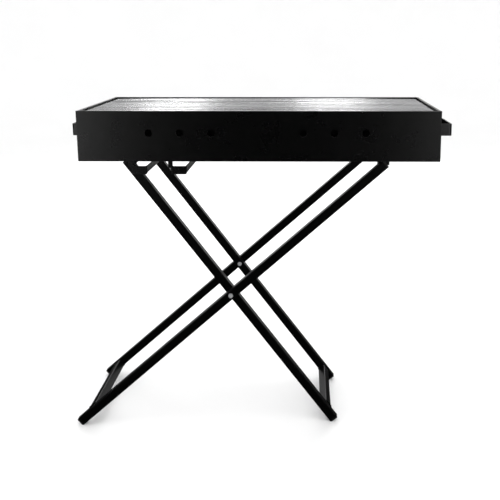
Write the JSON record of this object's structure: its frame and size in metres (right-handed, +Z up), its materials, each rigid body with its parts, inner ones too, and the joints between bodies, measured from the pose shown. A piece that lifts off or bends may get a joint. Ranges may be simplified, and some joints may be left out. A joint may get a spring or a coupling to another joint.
{
  "type": "folding charcoal grill",
  "caption": "Long open charcoal firebox with a lift-off rod grate and end handles, hinged on a folding X stand of square steel tube.",
  "frame": {"origin": "on the floor, under the middle of the whole object's box", "axes": "+X along the firebox from the stop end to the hinge end, +Y from front to rear, +Z up"},
  "size_m": [0.894, 0.35, 0.766],
  "materials": {
    "firebox_black": "satin heat-resistant black paint, slightly orange-peeled",
    "frame_black": "semi-gloss black powder coat",
    "grate_steel": "drawn bright steel rod",
    "zinc": "zinc plated",
    "plug_plastic": "moulded black plastic"
  },
  "bodies": {
    "outer_frame": {"outer_leg_front": "frame_black", "outer_leg_rear": "frame_black", "outer_foot_bar": "frame_black", "hinge_rod": "frame_black", "outer_foot_plugs": "plug_plastic", "outer_top_plugs": "plug_plastic", "pivot_bolt_front": "zinc", "pivot_bolt_rear": "zinc", "pivot_nut_front": "zinc", "pivot_nut_rear": "zinc", "pivot_washer_front": "zinc", "pivot_washer_rear": "zinc"},
    "inner_frame": {"inner_leg_front": "frame_black", "inner_leg_rear": "frame_black", "inner_foot_bar": "frame_black", "inner_top_bar": "frame_black", "inner_foot_plugs": "plug_plastic", "inner_top_plugs": "plug_plastic"},
    "firebox": {"front_wall": "firebox_black", "rear_wall": "firebox_black", "end_wall_left": "firebox_black", "end_wall_right": "firebox_black", "floor_plate": "firebox_black", "ledge_front": "firebox_black", "ledge_rear": "firebox_black", "handle_left": "firebox_black", "handle_right": "firebox_black", "hinge_bracket_front": "firebox_black", "hinge_bracket_rear": "firebox_black", "bar_stop_front": "firebox_black", "bar_stop_rear": "firebox_black", "keeper_front_1": "firebox_black", "keeper_front_2": "firebox_black", "keeper_rear_1": "firebox_black", "keeper_rear_2": "firebox_black", "keeper_rail_1": "firebox_black", "keeper_rail_2": "firebox_black"},
    "grate": {"grate_border": "grate_steel", "grate_long_rods": "grate_steel", "grate_cross_rods": "grate_steel"}
  },
  "joints": [
    {"name": "firebox_hinge", "type": "hinge", "parent": "outer_frame", "child": "firebox", "pos_m": [0.27836, 0, 0.637], "axis": [0, 1, 0], "range_deg": [0, 85]},
    {"name": "inner_frame_pivot", "type": "hinge", "parent": "outer_frame", "child": "inner_frame", "pos_m": [-0.06995, 0, 0.331], "axis": [0, 1, 0], "range_deg": [0, 85]},
    {"name": "grate_lift", "type": "slide", "parent": "firebox", "child": "grate", "axis": [0, 0, 1], "range_m": [0, 0.06]}
  ],
  "couplings": [
    {"joint": "inner_frame_pivot", "follows": "firebox_hinge", "ratio": 1}
  ]
}
